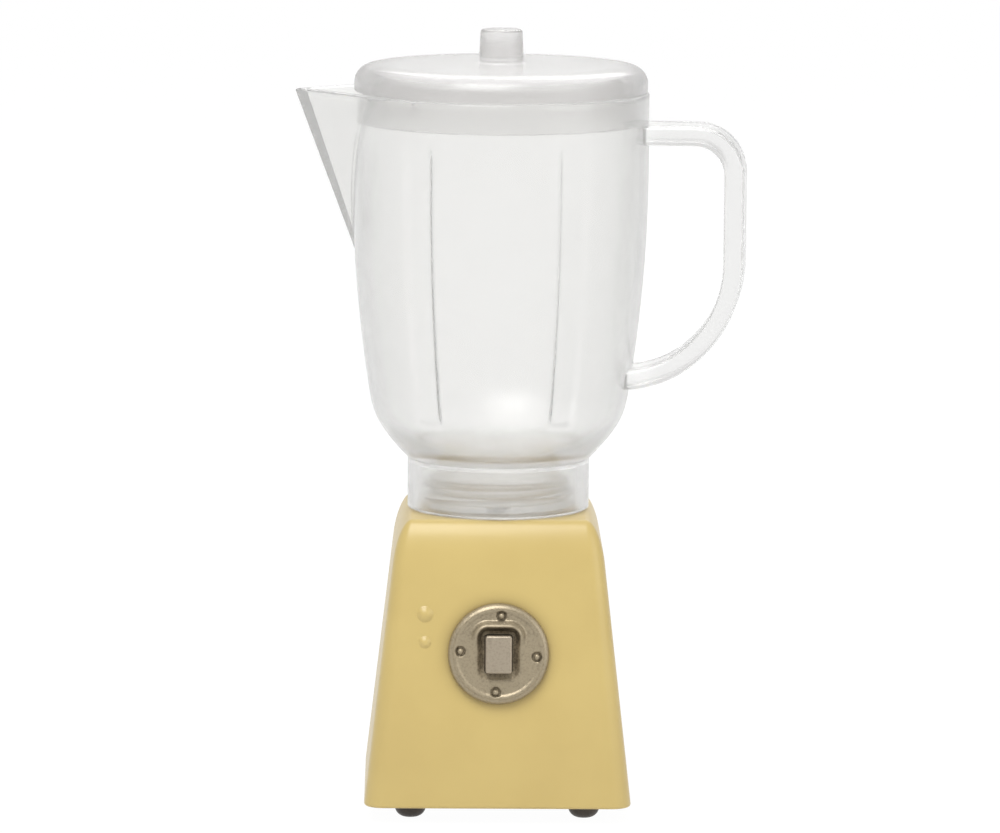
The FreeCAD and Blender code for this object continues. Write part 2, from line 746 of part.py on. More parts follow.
def make_lid():
    """The lid: domed crown with a rounded edge, plug skirt and a small round knob."""
    crown = "(lid_side + lid_round)"
    flat = f"({CROWN} - lid_round)"
    dome = f"({flat}^2 + lid_dome^2) / (2 * lid_dome)"
    inside = f"({SKIRT} - skirt_wall)"
    inner_dome = f"({inside}^2 + lid_dome^2) / (2 * lid_dome)"
    knob = f"({crown} + lid_dome + knob_height)"
    points = [
        ("0", f"{crown} + lid_dome - lid_thick"),
        (inside, f"{crown} - lid_thick"),
        (inside, "-skirt_depth"),
        (SKIRT, "-skirt_depth"),
        (SKIRT, "0"),
        (CROWN, "0"),
        (CROWN, "lid_side"),
        (flat, crown),
        ("knob_foot", f"{crown} + lid_dome"),
        ("knob_top", f"{knob} - knob_round"),
        ("knob_top - knob_round", knob),
        ("0", knob),
    ]
    arcs = {0: (inner_dome, 1), 6: ("lid_round", -1), 7: (dome, -1), 9: ("knob_round", -1)}
    lid = turned("lid", points, arcs)
    place(lid, height=RIM, axis=FreeCAD.Vector(0, 0, 1), angle="-jug_turn")
    return lid


def check(parts):
    """Stop before anything is written if a feature failed or a part isn't one valid solid."""
    doc.recompute()
    for item in doc.Objects:
        if "Invalid" in item.State or "Error" in item.State:
            raise RuntimeError(f"{item.Label} failed: {item.State}")
    for part in parts:
        shape = part.Shape
        if shape.isNull() or not shape.isValid() or len(shape.Solids) != 1:
            raise RuntimeError(f"{part.Label} isn't one valid solid")


def main():
    """Build every part, check them all and write one STEP file for each."""
    parts = [make_housing(), make_bottom_plate(), *make_feet(), *make_bottom_screws()]
    parts += [make_spigot(), *make_spigot_fixings()]
    parts += [make_switch_plate(), *make_rivets(), make_button(), make_spring_cup(), make_spring()]
    parts += [make_jug(), make_lid()]
    check(parts)
    os.makedirs("parts", exist_ok=True)
    for part in parts:
        part.Shape.exportStep(f"parts/{part.Label}.step")
        print(f"{part.Label:18s} {part.Shape.Volume:9.2f} mm3")


main()
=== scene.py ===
"""Looks for the toy blender: an enamelled cast base, a pewter switch, a milky jug and its lid."""

import logging
import math
from dataclasses import dataclass
from enum import Enum
from typing import Callable, Iterable, Sequence, Union

import bmesh
import bpy
from mathutils import Matrix, Vector


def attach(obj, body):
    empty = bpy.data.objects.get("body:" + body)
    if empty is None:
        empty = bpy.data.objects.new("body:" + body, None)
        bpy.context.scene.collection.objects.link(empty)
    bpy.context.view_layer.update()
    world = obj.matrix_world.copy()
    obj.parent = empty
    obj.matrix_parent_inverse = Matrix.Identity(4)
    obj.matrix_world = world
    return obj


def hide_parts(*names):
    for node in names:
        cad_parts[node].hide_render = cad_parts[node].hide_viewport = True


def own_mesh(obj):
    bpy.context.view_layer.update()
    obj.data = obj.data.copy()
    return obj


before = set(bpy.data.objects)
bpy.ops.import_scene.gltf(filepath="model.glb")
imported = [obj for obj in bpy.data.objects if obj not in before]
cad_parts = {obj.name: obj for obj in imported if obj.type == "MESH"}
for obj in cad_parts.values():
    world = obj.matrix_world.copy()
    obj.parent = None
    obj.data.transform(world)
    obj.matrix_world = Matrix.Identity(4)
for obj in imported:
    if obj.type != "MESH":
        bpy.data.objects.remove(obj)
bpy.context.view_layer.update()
MM = 0.001
LOG = logging.getLogger("toy_blender")
Point = tuple[float, float]
Pair = tuple[float, float]
Colour = tuple[float, float, float]
Value = Union["Wire", float, int]
SEEN = ("Camera", "Glossy", "Transmission")


class Body(Enum):
    """The moving groups of the frame."""

    BASE = "base"
    BUTTON = "button"
    JUG = "jug"
    LID = "lid"


class Slot(Enum):
    """Material slot names for the pieces made here; no piece is given one in this script."""

    ENAMEL = "enamel"
    PEWTER = "pewter"
    CLEAR_PLASTIC = "clear_plastic"
    MILKY_PLASTIC = "milky_plastic"


class Pick(Enum):
    """What a selection is made of."""

    EDGES = "EDGE"
    FACES = "FACE"


class Solids(Enum):
    """How a second solid changes a first."""

    JOIN = "UNION"
    CUT = "DIFFERENCE"


class Wire:
    """A node's output that can be used in sums."""

    def __init__(self, graph: "Graph", socket: bpy.types.NodeSocket) -> None:
        """Wrap an output socket of a graph."""
        self.graph = graph
        self.socket = socket

    def _maths(self, operation: str, first: Value, second: Value) -> "Wire":
        """Add one Math node and return its result."""
        return self.graph.node("ShaderNodeMath", {"operation": operation}, {0: first, 1: second})

    def __add__(self, other: Value) -> "Wire":
        """Sum."""
        return self._maths("ADD", self, other)

    __radd__ = __add__

    def __sub__(self, other: Value) -> "Wire":
        """Difference."""
        return self._maths("SUBTRACT", self, other)

    def __rsub__(self, other: Value) -> "Wire":
        """Difference from a number."""
        return self._maths("SUBTRACT", other, self)

    def __mul__(self, other: Value) -> "Wire":
        """Product."""
        return self._maths("MULTIPLY", self, other)

    __rmul__ = __mul__

    def step(self, low: float, high: float) -> "Wire":
        """Rise smoothly from 0 at low to 1 at high.

        Args:
            low: value at which the result starts to rise.
            high: value at which the result is 1.

        Returns:
            The eased value, kept between 0 and 1.
        """
        return self.graph.node(
            "ShaderNodeMapRange",
            {"interpolation_type": "SMOOTHSTEP"},
            {"Value": self, "From Min": low, "From Max": high},
        )


class Graph:
    """The nodes of one material, or of the world."""

    def __init__(self, owner: Union[bpy.types.Material, bpy.types.World], output: str) -> None:
        """Start with an empty node tree and its output node.

        Args:
            owner: the material or world.
            output: the output node's type.
        """
        self.owner = owner
        self.owner.use_nodes = True
        self.tree = owner.node_tree
        self.tree.nodes.clear()
        self.output = self.tree.nodes.new(output)

    @classmethod
    def material(cls, name: str) -> "Graph":
        """Start a new material's nodes."""
        return cls(bpy.data.materials.new(name), "ShaderNodeOutputMaterial")

    def node(
        self,
        kind: str,
        settings: dict[str, object],
        sockets: dict[Union[str, int], object],
        output: Union[str, int] = 0,
    ) -> Wire:
        """Add a node, set it up and link it.

        Args:
            kind: the node's type.
            settings: attributes that are set before any socket.
            sockets: inputs by name or number, each a Wire or a plain value.
            output: which output to return.

        Returns:
            The chosen output.
        """
        made = self.tree.nodes.new(kind)
        for key, value in settings.items():
            setattr(made, key, value)
        for key, value in sockets.items():
            if isinstance(value, Wire):
                self.tree.links.new(value.socket, made.inputs[key])
            else:
                made.inputs[key].default_value = value
        return Wire(self, made.outputs[output])

    def place(self) -> Wire:
        """The place on the piece."""
        return self.node("ShaderNodeTexCoord", {}, {}, "Object")

    def noise(self, scale: float, detail: float = 2.0, rough: float = 0.5) -> Wire:
        """Noise over the piece.

        Args:
            scale: cycles per metre.
            detail: how many finer layers it has.
            rough: how strong the finer layers are.

        Returns:
            A value between 0 and 1.
        """
        sockets = {"Vector": self.place(), "Scale": scale, "Detail": detail, "Roughness": rough}
        return self.node("ShaderNodeTexNoise", {}, sockets)

    def mix(self, factor: Value, first: Union[Wire, Colour], second: Union[Wire, Colour]) -> Wire:
        """Mix two colours.

        Args:
            factor: the share of the second.
            first: a colour, or a wire that carries one.
            second: a colour, or a wire that carries one.

        Returns:
            The mixed colour.
        """
        low, high = (end if isinstance(end, Wire) else (*end, 1.0) for end in (first, second))
        return self.node("ShaderNodeMix", {"data_type": "RGBA"}, {"Factor": factor, 6: low, 7: high}, 2)

    def bump(self, height: Value, strength: float, distance: float) -> Wire:
        """A bump for a shader's Normal, its distance in metres."""
        sockets = {"Height": height, "Strength": strength, "Distance": distance}
        return self.node("ShaderNodeBump", {}, sockets, "Normal")

    def axis_part(self, letter: str) -> Wire:
        """One coordinate of the place on the piece, in metres."""
        return self.node("ShaderNodeSeparateXYZ", {}, {"Vector": self.place()}, letter)

    def occlusion(self, distance: float) -> Wire:
        """How open the surface is within a distance in metres: 1 in the open, 0 in a corner."""
        return self.node("ShaderNodeAmbientOcclusion", {"samples": 8}, {"Distance": distance}, "AO")

    def rays(self, *kinds: str) -> Wire:
        """Tell some kinds of light rays from the rest.

        Args:
            kinds: names such as "Camera" or "Shadow".

        Returns:
            1 for rays of any of the kinds, else 0.
        """
        found = sum((self.node("ShaderNodeLightPath", {}, {}, f"Is {kind} Ray") for kind in kinds), 0.0)
        return found.step(0.0, 1.0)

    def principled(self, **sockets: object) -> Wire:
        """A Principled shader; underscores in names stand for spaces."""
        spaced = {key.replace("_", " "): value for key, value in sockets.items()}
        return self.node("ShaderNodeBsdfPrincipled", {}, spaced)

    def blend(self, share: Value, first: Wire, second: Wire) -> Wire:
        """Mix two shaders by the share of the second."""
        return self.node("ShaderNodeMixShader", {}, {0: share, 1: first, 2: second})

    def finish(self, shader: Wire) -> Union[bpy.types.Material, bpy.types.World]:
        """Link the shader to the output and return the material or world."""
        self.tree.links.new(shader.socket, self.output.inputs["Surface"])
        return self.owner


@dataclass(frozen=True)
class Enamel:
    """Thick gloss paint over a casting."""

    colour: Colour = (0.565, 0.428, 0.150)
    deep: Colour = (0.47, 0.34, 0.11)
    shade: Colour = (0.17, 0.11, 0.035)
    roughness: float = 0.34
    flow_scale: float = 110.0
    grain_scale: float = 900.0
    contact: float = 0.0015

    def material(self) -> bpy.types.Material:
        """Butter-yellow enamel with slow flow marks, and painted shade where it meets other pieces.

        Returns:
            The material.
        """
        g = Graph.material("butter_enamel")
        flow = g.noise(self.flow_scale, 3.0)
        grain = g.noise(self.grain_scale)
        tone = g.mix(flow.step(0.35, 0.75) * 0.3, self.colour, self.deep)
        # painted shade: the enamel darkens towards the shade tone where other surfaces close in
        near = 1.0 - g.occlusion(self.contact)
        tone = g.mix(near * 0.9, tone, self.shade)
        height = flow * 0.7 + grain * 0.3
        return g.finish(
            g.principled(
                Base_Color=tone,
                Roughness=self.roughness + grain * 0.08,
                Normal=g.bump(height, 0.3, 0.0001),
                Coat_Weight=0.25,
                Coat_Roughness=0.22,
            )
        )


@dataclass(frozen=True)
class Pewter:
    """Warm cast metal, darker in its grainy pits, with painted shade in its corners."""

    name: str = "pewter_painted_shade"
    colour: Colour = (0.355, 0.296, 0.200)
    dark: Colour = (0.085, 0.066, 0.042)
    grain_scale: float = 4200.0
    corner: float = 0.0012
    metallic: float = 0.55
    roughness: float = 0.24

    def material(self) -> bpy.types.Material:
        """Cast grain, darker in the pits, with painted shade in the corners and recesses.

        Returns:
            The material.
        """
        g = Graph.material(self.name)
        grain = g.noise(self.grain_scale, 3.0, 0.65)
        soft = g.noise(self.grain_scale * 0.3)
        pits = (1.0 - grain.step(0.32, 0.62)) * 0.3 + (1.0 - soft.step(0.3, 0.6)) * 0.08
        # painted shade: the metal darkens towards the dark tone where other surfaces close in; only the
        # pits come from the grain noise
        corners = 1.0 - g.occlusion(self.corner)
        pits_and_painted_shade = (pits + corners * 0.85).step(0.0, 1.0)
        tone = g.mix(pits_and_painted_shade, self.colour, self.dark)
        return g.finish(
            g.principled(
                Base_Color=tone,
                Metallic=self.metallic,
                Roughness=self.roughness + grain * 0.2,
                Normal=g.bump(grain, 0.6, 0.00005),
            )
        )


@dataclass(frozen=True)
class Moulding:
    """Milky clear plastic."""

    name: str
    colour: Colour
    milk: Colour
    milk_share: float
    edge_share: float
    roughness: float
    solid_from: float = 1.0
    solid_fade: float = 0.0006
    solid_tint: float = 0.93
    index: float = 1.46
    passing: Colour = (0.96, 0.96, 0.955)

    def material(self) -> bpy.types.Material:
        """Rough clear plastic with some milk in it, more towards the edges, tinted where it is solid.

        Returns:
            The material.
        """
        g = Graph.material(self.name)
        flow = g.noise(260.0)
        fine = g.noise(1500.0)
        normal = g.bump(flow * 0.7 + fine * 0.3, 0.2, 0.00006)
        solid = g.axis_part("X").step(self.solid_from, self.solid_from + self.solid_fade)
        tint = g.mix(solid, self.colour, tuple(self.solid_tint * part for part in self.colour))
        clear = g.principled(
            Base_Color=tint,
            Roughness=self.roughness + fine * 0.06,
            IOR=self.index,
            Transmission_Weight=1.0,
            Normal=normal,
        )
        milky = g.principled(Base_Color=(*self.milk, 1.0), Roughness=0.35, Normal=normal)
        facing = g.node("ShaderNodeLayerWeight", {}, {"Blend": 0.35, "Normal": normal}, "Facing")
        share = self.milk_share + facing * self.edge_share + flow.step(0.3, 0.8) * 0.02 - solid * 0.05
        passing = g.node("ShaderNodeBsdfTransparent", {}, {"Color": (*self.passing, 1.0)})
        return g.finish(g.blend(g.rays("Shadow", "Diffuse"), g.blend(share, clear, milky), passing))


@dataclass(frozen=True)
class Satin:
    """A plain moulded or plated finish with fine grain."""

    name: str
    colour: Colour
    worn: Colour
    metallic: float
    roughness: float
    grain_scale: float = 1400.0

    def material(self) -> bpy.types.Material:
        """Two close tones in cloudy patches, with fine grain in the surface.

        Returns:
            The material.
        """
        g = Graph.material(self.name)
        clouds = g.noise(300.0, 3.0)
        grain = g.noise(self.grain_scale)
        tone = g.mix(clouds.step(0.35, 0.7), self.colour, self.worn)
        return g.finish(
            g.principled(
                Base_Color=tone,
                Metallic=self.metallic,
                Roughness=self.roughness + grain * 0.12,
                Normal=g.bump(grain, 0.4, 0.00004),
            )
        )


ENAMEL = Enamel()
PEWTER = Pewter()
BUTTON_METAL = Pewter("button_pewter", (0.375, 0.318, 0.24), (0.13, 0.105, 0.075), 4600.0)
JUG_PLASTIC = Moulding("milky_jug", (0.935, 0.933, 0.926), (0.77, 0.77, 0.76), 0.09, 0.12, 0.16, 0.0135)
LID_PLASTIC = Moulding("milky_lid", (0.885, 0.877, 0.873), (0.52, 0.51, 0.50), 0.12, 0.08, 0.2)
SPIGOT_PLASTIC = Moulding("clear_spigot", (0.95, 0.945, 0.93), (0.72, 0.71, 0.68), 0.10, 0.14, 0.08)
RUBBER = Satin("brown_foot", (0.055, 0.042, 0.032), (0.085, 0.066, 0.05), 0.0, 0.42)
DARK_PLASTIC = Satin("dark_plastic", (0.05, 0.045, 0.04), (0.075, 0.07, 0.062), 0.0, 0.5)
PLATED = Satin("plated_steel", (0.55, 0.55, 0.54), (0.42, 0.41, 0.39), 1.0, 0.3)


def dress(node: str, material: bpy.types.Material) -> None:
    """Give a carried-over node its material in every slot.

    Args:
        node: the node's name.
        material: what it wears.
    """
    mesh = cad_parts[node].data
    if not mesh.materials:
        mesh.materials.append(material)
    for index in range(len(mesh.materials)):
        mesh.materials[index] = material


class Bench:
    """Hand tools for modelling in edit mode, in millimetres about a piece's own axis."""

    @staticmethod
    def start_point(name: str, at: Point) -> bpy.types.Object:
        """Begin a mesh as one selected point, and stay in edit mode.

        Args:
            name: the piece's name.
            at: the point's distance from the axis and its height.

        Returns:
            The new piece.
        """
        bpy.ops.object.select_all(action="DESELECT")
        bpy.ops.mesh.primitive_plane_add(size=1.0)
        piece = bpy.context.object
        piece.name = name
        bpy.ops.object.mode_set(mode="EDIT")
        bpy.ops.mesh.select_mode(type="VERT")
        bpy.ops.mesh.select_all(action="SELECT")
        bpy.ops.mesh.merge(type="CENTER")
        bpy.ops.transform.translate(value=(at[0], 0.0, at[1]))
        return piece

    @staticmethod
    def extrude(along: float, up: float) -> None:
        """Extrude the selection and move it along x and up."""
        bpy.ops.mesh.extrude_region_move(TRANSFORM_OT_translate={"value": (along, 0.0, up)})

    @staticmethod
    def lathe(name: str, profile: Sequence[Point], steps: int) -> bpy.types.Object:
        """Draw a half outline point by point and turn it about the upright axis.

        Args:
            name: the piece's name.
            profile: distances from the axis and heights, from axis to axis.
            steps: how many sectors the turning has.

        Returns:
            The closed solid, in object mode.
        """
        piece = Bench.start_point(name, profile[0])
        for (r0, z0), (r1, z1) in zip(profile, profile[1:]):
            Bench.extrude(r1 - r0, z1 - z0)
        bpy.ops.mesh.select_all(action="SELECT")
        bpy.ops.mesh.spin(steps=steps, angle=math.tau, center=(0.0, 0.0, 0.0), axis=(0.0, 0.0, 1.0))
        bpy.ops.mesh.select_all(action="SELECT")
        bpy.ops.mesh.remove_doubles(threshold=0.001)
        bpy.ops.mesh.normals_make_consistent(inside=False)
        bpy.ops.object.mode_set(mode="OBJECT")
        return piece

    @staticmethod
    def block(name: str, half: Sequence[float], middle: Sequence[float]) -> bpy.types.Object:
        """A box shaped from a unit cube, left in edit mode with everything selected.

        Args:
            name: the piece's name.
            half: half its size along x, y and z.
            middle: its middle.

        Returns:
            The new piece.
        """
        bpy.ops.object.select_all(action="DESELECT")
        bpy.ops.mesh.primitive_cube_add(size=2.0)
        piece = bpy.context.object
        piece.name = name
        bpy.ops.object.mode_set(mode="EDIT")
        bpy.ops.mesh.select_all(action="SELECT")
        bpy.ops.transform.resize(value=half)
        bpy.ops.transform.translate(value=middle)
        return piece

    @staticmethod
    def pick(piece: bpy.types.Object, kind: Pick, test: Callable[[Vector], bool]) -> None:
        """Select the edges or faces whose corners all meet a test.

        Args:
            piece: the piece in edit mode.
            kind: what is selected.
            test: takes a corner's place.
        """
        bpy.ops.mesh.select_mode(type=kind.value)
        bpy.ops.mesh.select_all(action="DESELECT")
        mesh = bmesh.from_edit_mesh(piece.data)
        for item in mesh.edges if kind is Pick.EDGES else mesh.faces:
            item.select_set(all(test(corner.co) for corner in item.verts))
        mesh.select_flush_mode()
        bmesh.update_edit_mesh(piece.data)

    @staticmethod
    def round_uprights(piece: bpy.types.Object, radius: float, segments: int) -> None:
        """Round the edges of a block that run mostly upwards.

        Args:
            piece: the block in edit mode.
            radius: the rounding's radius.
            segments: how many chords the rounding has.
        """
        Bench.pick(piece, Pick.EDGES, lambda p: True)
        mesh = bmesh.from_edit_mesh(piece.data)
        for edge in mesh.edges:
            along = edge.verts[1].co - edge.verts[0].co
            if abs(along.z) < 0.9 * along.length:
                edge.select_set(False)
        mesh.select_flush_mode()
        bmesh.update_edit_mesh(piece.data)
        bpy.ops.mesh.bevel(offset=radius, segments=segments, affect="EDGES")

    @staticmethod
    def swing(angle: float, centre: Sequence[float], steps: int) -> None:
        """Extrude the selected face round an arc that lies in the XZ plane.

        Args:
            angle: how far it swings from Z towards X, in radians.
            centre: the arc's centre.
            steps: how many chords.
        """
        for _ in range(steps):
            Bench.extrude(0.0, 0.0)
            # With no window the operator turns the other way.
            bpy.ops.transform.rotate(value=-angle / steps, orient_axis="Y", center_override=centre)

    @staticmethod
    def combine(piece: bpy.types.Object, tool: bpy.types.Object, way: Solids) -> None:
        """Join a second solid to a piece, or cut it away, and remove the second.

        Args:
            piece: the solid that stays.
            tool: the second solid.
            way: join it or cut it away.
        """
        step = piece.modifiers.new("solids", "BOOLEAN")
        step.object = tool
        step.operation = way.value
        step.solver = "EXACT"
        bpy.ops.object.select_all(action="DESELECT")
        bpy.context.view_layer.objects.active = piece
        piece.select_set(True)
        bpy.ops.object.modifier_apply(modifier=step.name)
        bpy.data.objects.remove(tool)

    @staticmethod
    def merge(piece: bpy.types.Object, others: Iterable[bpy.types.Object]) -> None:
        """Make several meshes one object.

        Args:
            piece: the piece that the others become part of.
            others: the other meshes.
        """
        bpy.ops.object.select_all(action="DESELECT")
        for other in others:
            other.select_set(True)
        piece.select_set(True)
        bpy.context.view_layer.objects.active = piece
        bpy.ops.object.join()

    @staticmethod
    def reshape(piece: bpy.types.Object, move: Callable[[Vector], Vector]) -> None:
        """Move every vertex of a finished mesh.

        Args:
            piece: the piece in object mode.
            move: takes a vertex's place and returns its new one.
        """
        for vertex in piece.data.vertices:
            vertex.co = move(vertex.co.copy())
        piece.data.update()


def arc(centre: Point, radius: float, start: float, stop: float, steps: int) -> list[Point]:
    """Points on an arc, both ends included.

    Args:
        centre: the arc's centre.
        radius: its radius.
        start: first angle in degrees, from the outward direction towards up.
        stop: last angle in degrees.
        steps: how many chords.

    Returns:
        The points in order.
    """
    angles = [math.radians(start + (stop - start) * i / steps) for i in range(steps + 1)]
    return [(centre[0] + radius * math.cos(a), centre[1] + radius * math.sin(a)) for a in angles]


def ramp(value: float, low: float, high: float) -> float:
    """Ease from 0 at low to 1 at high; low may be the larger.

    Args:
        value: what is eased.
        low: value that gives 0.
        high: value that gives 1.

    Returns:
        The eased value, kept between 0 and 1.
    """
    share = min(1.0, max(0.0, (value - low) / (high - low)))
    return share * share * (3.0 - 2.0 * share)


def rounded_box_distance(x: float, y: float, half_x: float, half_y: float, corner: float) -> float:
    """Signed distance from a point to a rectangle with round corners, negative inside.

    Args:
        x: place across.
        y: place up.
        half_x: half the rectangle's width.
        half_y: half its height.
        corner: radius of its corners.

    Returns:
        The distance to its edge.
    """
    dx, dy = abs(x) - half_x + corner, abs(y) - half_y + corner
    return math.hypot(max(dx, 0.0), max(dy, 0.0)) + min(max(dx, dy), 0.0) - corner


@dataclass(frozen=True)
class Stance:
    """Where a sub-assembly stands: its own axis, height and turn, in millimetres and degrees."""

    x: float = -1.915
    y: float = 0.0
    height: float = 0.0
    turn: float = 0.0
    lean: float = 0.0

    def matrix(self) -> Matrix:
        """From the piece's own millimetres to the row frame's metres.

        Returns:
            The matrix that settles a piece.
        """
        turned = Matrix.Rotation(math.radians(self.turn), 4, "Z")
        leant = Matrix.Rotation(math.radians(self.lean), 4, "X")
        place = Matrix.Translation((self.x * MM, self.y * MM, self.height * MM))
        return place @ turned @ leant @ Matrix.Scale(MM, 4)


def settle(
    piece: bpy.types.Object,
    stance: Stance,
    body: Body,
    material: bpy.types.Material,
    nodes: Sequence[str],
    smooth: float = 35.0,
) -> None:
    """Put a finished piece at its place, dress it and report it.

    Args:
        piece: the piece, modelled in millimetres about its own axis.
        stance: its place.
        body: the moving group that it rides on.
        material: its material.
        nodes: the frame's nodes that it stands for.
        smooth: edges that turn by less than this many degrees are shaded smooth.
    """
    piece.data.transform(stance.matrix())
    piece.data.update()
    piece.data.materials.clear()
    piece.data.materials.append(material)
    bpy.ops.object.select_all(action="DESELECT")
    bpy.context.view_layer.objects.active = piece
    piece.select_set(True)
    bpy.ops.object.shade_smooth_by_angle(angle=math.radians(smooth))
    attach(piece, body.value)
    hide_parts(*nodes)
    LOG.info("%s: %d faces on %s", piece.name, len(piece.data.polygons), body.value)


@dataclass
class Jug:
    """The milky jug: collar, bowl, barrel, pouring lip, ribs and strap handle."""

    stance: Stance = Stance(height=30.85, turn=-5.9)
    radius: float = 15.2
    height: float = 43.05
    wall: float = 0.9
    barrel_top: float = 35.15
    waist: Point = (13.0, 10.0)
    rim_drop: float = 0.25
    rim_flat: float = 0.55
    bowl_foot: Point = (9.35, 5.25)
    bowl_sagitta: float = 0.25
    bore: Point = (8.15, 5.0)
    floor: float = 6.2
    gate: Pair = (0.6, 0.4)
    edge: float = 0.15
    nose_rim: float = 21.3
    nose_lean: float = 6.45
    nose_depth: float = 17.0
    nose_thick: float = 1.7
    channel_low: float = 27.25
    lip_half_angle: float = 60.0
    clearance: float = 1.5
    rib_angles: tuple[float, ...] = (54.0, 119.5, 240.5, 306.0)
    rib_half_span: float = 6.0
    rib_fade: float = 1.8
    rib_rise: float = 0.32
    rib_ends: Pair = (9.6, 38.4)
    strap: Pair = (2.0, 6.5)
    strap_round: float = 0.45
    strap_root: Point = (14.6, 38.95)
    strap_crook: float = 4.0
    strap_grip: Point = (24.15, 25.9)
    strap_sweep_end: Point = (19.05, 15.85)
    strap_hook: float = 10.8
    strap_end: float = 13.1
    strap_chords: tuple[int, int, int] = (16, 16, 10)
    sectors: int = 320
    rows: int = 56
    bowl_rows: int = 14
    easings: int = 6

    def barrel_radius(self, z: float) -> float:
        """Outer radius of the barrel at a height above the collar's foot.

        Args:
            z: height above the collar's foot.

        Returns:
            The radius in millimetres.
        """
        drop, rise = self.radius - self.waist[0], self.barrel_top - self.waist[1]
        curve = (rise**2 + drop**2) / (2.0 * drop)
        below = max(0.0, self.barrel_top - z)
        return self.radius - curve + math.sqrt(curve**2 - below**2)

    def bowl(self, inset: float, foot: Point, steps: int) -> list[Point]:
        """The bowl's arc from the waist down to its foot.

        Args:
            inset: how far inside the outer wall the arc runs.
            foot: where the arc ends.
            steps: how many chords.

        Returns:
            The arc's points, from the top.
        """
        top = (self.waist[0] - inset, self.waist[1])
        run, fall = top[0] - foot[0], top[1] - foot[1]
        chord = math.hypot(run, fall)
        radius = chord**2 / (8.0 * self.bowl_sagitta) + self.bowl_sagitta / 2.0
        reach = radius - self.bowl_sagitta
        middle = ((top[0] + foot[0]) / 2.0, (top[1] + foot[1]) / 2.0)
        centre = (middle[0] - reach * fall / chord, middle[1] + reach * run / chord)
        start = math.degrees(math.atan2(top[1] - centre[1], top[0] - centre[0]))
        stop = math.degrees(math.atan2(foot[1] - centre[1], foot[0] - centre[0]))
        return arc(centre, radius, start, stop, steps)

    def wall_side(self, inset: float, foot: Point) -> list[Point]:
        """One side of the wall from the rim down to the bowl's foot, eased at the waist.

        Args:
            inset: how far inside the outer wall the side runs.
            foot: where the bowl ends.

        Returns:
            The side's points, from the top.
        """
        top, low = self.height - self.rim_drop, self.waist[1]
        levels = [top + (low - top) * i / self.rows for i in range(self.rows)]
        side = [(self.barrel_radius(z) - inset, z) for z in levels] + self.bowl(inset, foot, self.bowl_rows)
        for _ in range(self.easings):
            eased = [
                ((a[0] + b[0] + c[0]) / 3.0, (a[1] + b[1] + c[1]) / 3.0)
                for a, b, c in zip(side, side[1:], side[2:])
            ]
            side = [side[0], *eased, side[-1]]
        return side

    def outline(self) -> list[Point]:
        """Half outline from the inner floor over the rim to the collar's bore.

        Returns:
            Distances from the axis and heights, from axis to axis.
        """
        inner_foot = (self.bowl_foot[0] - self.wall, self.floor + 0.05)
        inner = list(reversed(self.wall_side(self.wall, inner_foot)))
        outer = self.wall_side(0.0, self.bowl_foot)
        gate_top = self.floor + self.gate[1]
        floor_line = [(0.0, gate_top), (self.gate[0] - 0.1, gate_top), (self.gate[0], gate_top - 0.1)]
        floor_line += [(self.gate[0] + 0.05, self.floor), (4.0, self.floor), (7.6, self.floor)]
        rim_foot = self.height - self.rim_drop
        rim = arc((self.radius - self.wall / 2.0, rim_foot), self.wall / 2.0, 180.0, 0.0, 8)
        rim = [(r, rim_foot + (z - rim_foot) * self.rim_flat) for r, z in rim[1:-1]]
        outside, (inside, roof), edge = self.bowl_foot[0], self.bore, self.edge
        collar = [(outside, z) for z in (4.9, 4.0, 3.0, 2.0, 1.0, edge)]
        foot = [(outside - edge, 0.0), (inside + edge, 0.0), (inside, edge)]
        bore = [(inside, z) for z in (1.5, 3.0, roof - 2.0 * edge)]
        bore += [(inside - 2.0 * edge, roof), (4.0, roof), (0.0, roof)]
        return floor_line + inner + rim + outer + collar + foot + bore

    def nose(self, z: float) -> float:
        """How far the lip's outer edge stands from the axis at a height."""
        return self.nose_rim - self.nose_lean * (self.height - z) / self.nose_depth

    def inner_nose(self, z: float) -> float:
        """How far the lip's channel reaches from the axis at a height."""
        down = (self.height - z) / (self.height - self.channel_low)
        return self.nose(z) - self.nose_thick * (1.0 - 0.5 * min(1.0, down))

    def shape_vertex(self, point: Vector) -> Vector:
        """Raise the ribs on the wall's inner side, and draw the wall out to the lip.

        Args:
            point: a vertex of the turned shell.

        Returns:
            Its new place.
        """
        if point.z < self.waist[1] - self.clearance:
            return point
        radius, angle = math.hypot(point.x, point.y), math.atan2(point.y, point.x)
        body = self.barrel_radius(max(point.z, self.waist[1]))
        if radius < body - self.wall - self.clearance:
            return point
        outside = min(1.0, max(0.0, (radius - body + self.wall) / self.wall))
        rise = self.rib_rise * self.rib_share(math.degrees(angle) % 360.0, point.z)
        wanted = radius - rise * max(0.0, 1.0 - 2.0 * outside)
        off = math.pi - abs(angle)
        if off < math.radians(self.lip_half_angle):
            spread = math.cos(off) + abs(math.sin(off))
            height = min(point.z, self.height)
            lip_out, lip_in = self.nose(height) / spread, self.inner_nose(height) / spread
            if height > self.channel_low:
                wanted = self.soft_max(wanted, lip_in + (lip_out - lip_in) * outside)
            elif outside > 0.5:
                wanted = self.soft_max(wanted, lip_out)
        point.x, point.y = point.x * wanted / radius, point.y * wanted / radius
        return point

    @staticmethod
    def soft_max(first: float, second: float, blend: float = 0.12) -> float:
        """The larger of two values, rounded where they meet."""
        gap = max(blend - abs(first - second), 0.0) / blend
        return max(first, second) + gap * gap * blend * 0.25

    def rib_share(self, angle: float, z: float) -> float:
        """How much of a rib's rise there is at an angle and height.

        Args:
            angle: direction from the axis, in degrees from 0 to 360.
            z: height above the collar's foot.

        Returns:
            The share, between 0 and 1.
        """
        near = min(abs((angle - rib + 180.0) % 360.0 - 180.0) for rib in self.rib_angles)
        across = ramp(near, self.rib_half_span + self.rib_fade, self.rib_half_span - self.rib_fade)
        low, high = self.rib_ends
        return across * ramp(z, low, low + 1.0) * ramp(z, high + 0.4, high - 0.6)

